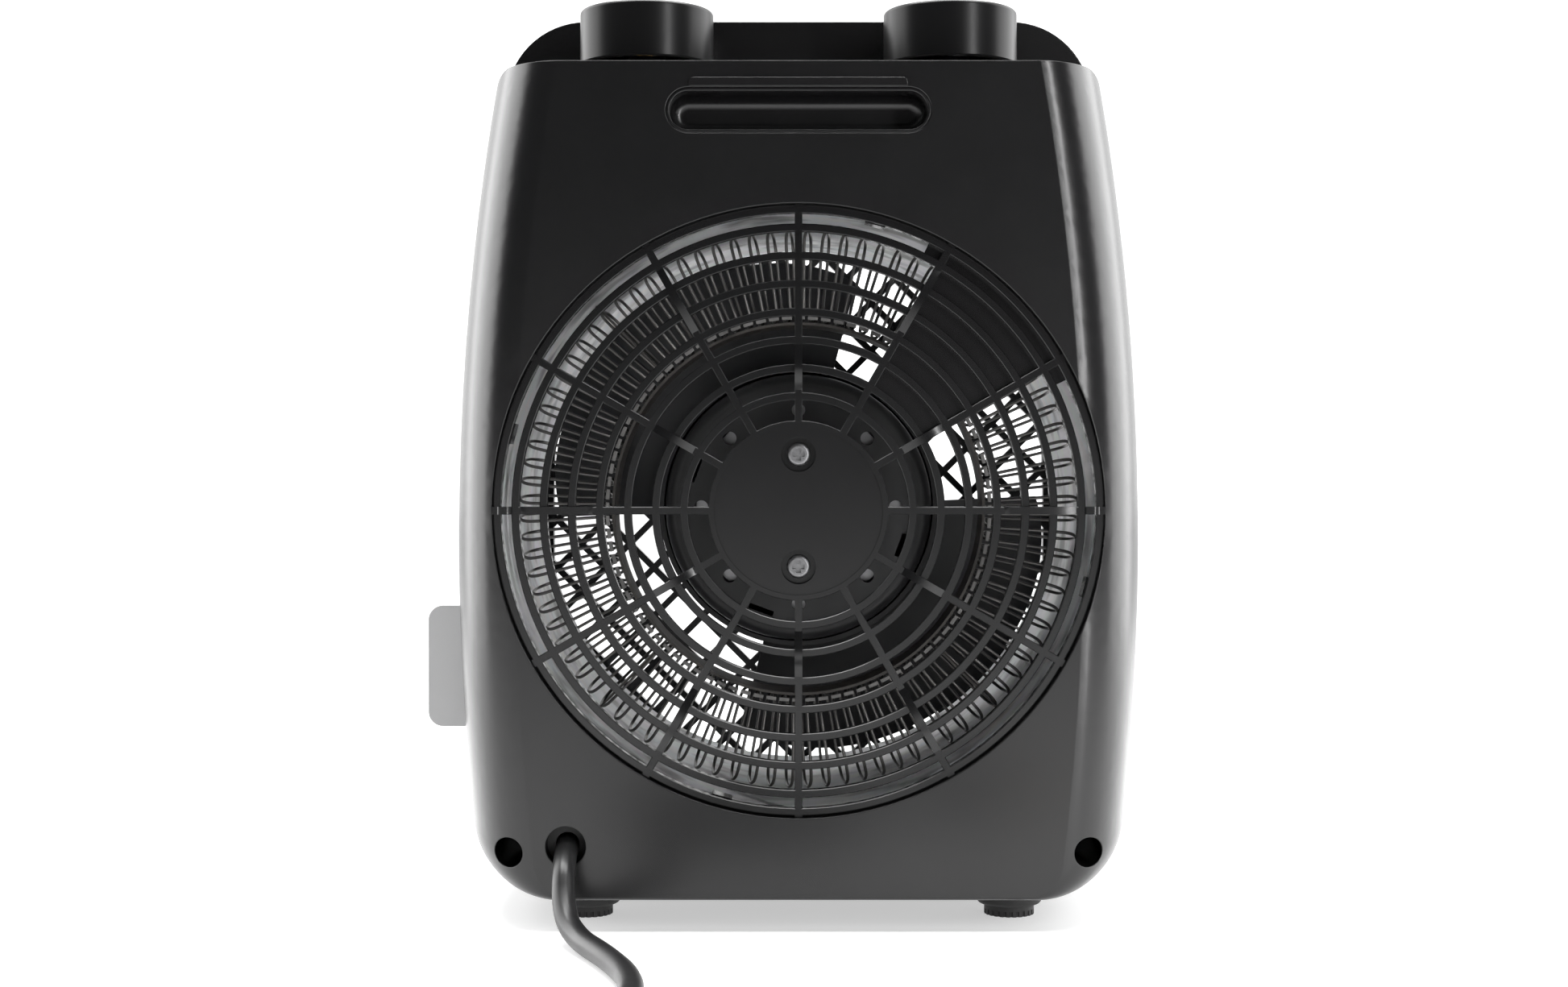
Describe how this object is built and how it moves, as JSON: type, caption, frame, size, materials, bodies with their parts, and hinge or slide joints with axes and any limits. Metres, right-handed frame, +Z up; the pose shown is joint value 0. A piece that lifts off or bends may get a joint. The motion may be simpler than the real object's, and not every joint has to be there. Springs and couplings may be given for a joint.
{
  "type": "fan heater",
  "caption": "Compact free-standing fan heater with a round rear guard, wire element in a steel duct, two control knobs, a diagonal front grille and four small feet.",
  "frame": {"origin": "on the floor, midway between the four feet", "axes": "+Z up; the front grille faces -Y and the rear guard faces +Y; +X is the side with the card and the cord"},
  "size_m": [0.2182, 0.3723, 0.2715],
  "materials": {
    "case_black": "satin gloss black",
    "knob_black": "satin gloss black",
    "guard_black": "satin black",
    "inner_plastic": "matt",
    "pale_plastic": "matt",
    "card": "satin",
    "lens_amber": "clear gloss",
    "galvanised": "mottled zinc",
    "steel": "plain",
    "resistance_wire": "oxidised",
    "mica": "layered",
    "fan_plastic": "matt",
    "copper": "enamelled",
    "brass": "plain",
    "rubber_black": "matt",
    "cord_black": "satin",
    "ceramic_white": "unglazed"
  },
  "bodies": {
    "base": {"blanking_sheet": "guard_black", "brow_strip": "case_black", "case_screws": "steel", "control_deck": "case_black", "cord_clamp_bar": "inner_plastic", "cord_clamp_bed": "inner_plastic", "cord_clamp_screws": "steel", "cord_coil": "cord_black", "cord_line": "cord_black", "cord_sleeve": "rubber_black", "cord_tail": "cord_black", "cord_tie": "cord_black", "cutout_saddle": "steel", "deck_plugs": "knob_black", "duct": "galvanised", "duct_screws": "steel", "element_terminals": "steel", "feet": "rubber_black", "front_grille": "guard_black", "front_shell": "case_black", "grip_cup": "case_black", "guard_posts": "steel", "guard_screws": "steel", "heating_wire": "resistance_wire", "mica_arms": "mica", "mica_ring": "mica", "mode_switch": "inner_plastic", "mode_switch_tags": "brass", "motor_bracket": "steel", "motor_bushes": "brass", "motor_housing": "fan_plastic", "motor_stator": "steel", "motor_windings": "copper", "pilot_lamp": "pale_plastic", "pilot_lens": "lens_amber", "plug_blades": "brass", "plug_body": "cord_black", "rear_guard": "guard_black", "rear_shell": "case_black", "tab_guide": "inner_plastic", "terminal_block": "pale_plastic", "terminal_bushes": "ceramic_white", "terminal_screws": "brass", "thermal_cutout": "inner_plastic", "thermal_fuse": "ceramic_white", "thermostat_bracket": "steel", "thermostat_leaves": "brass", "thermostat_stack": "ceramic_white", "tilt_switch_case": "inner_plastic", "tilt_switch_tags": "brass", "wire_loom": "inner_plastic"},
    "mode_spindle": {"mode_knob": "knob_black", "mode_shaft": "steel"},
    "thermostat_spindle": {"thermostat_knob": "knob_black", "thermostat_shaft": "brass"},
    "fan_rotor": {"fan": "fan_plastic", "motor_shaft": "steel", "motor_rotor": "steel"},
    "card": {"side_tab": "card"},
    "tilt_weight": {"tilt_switch_weight": "steel"}
  },
  "joints": [
    {"name": "mode_turn", "type": "hinge", "parent": "base", "child": "mode_spindle", "pos_m": [-0.0456, 0.041, 0.2532], "axis": [0, 0, -1], "range_deg": [0, 135]},
    {"name": "thermostat_turn", "type": "hinge", "parent": "base", "child": "thermostat_spindle", "pos_m": [0.0456, 0.041, 0.2532], "axis": [0, 0, -1], "range_deg": [0, 270]},
    {"name": "fan_turn", "type": "hinge", "parent": "base", "child": "fan_rotor", "pos_m": [0, -0.005, 0.1203], "axis": [0, 1, 0], "continuous": true},
    {"name": "card_slide", "type": "slide", "parent": "base", "child": "card", "axis": [1, 0, 0], "range_m": [-0.011, 0.001]},
    {"name": "tilt_slide", "type": "slide", "parent": "base", "child": "tilt_weight", "axis": [0, 0, 1], "range_m": [0, 0.005]}
  ]
}
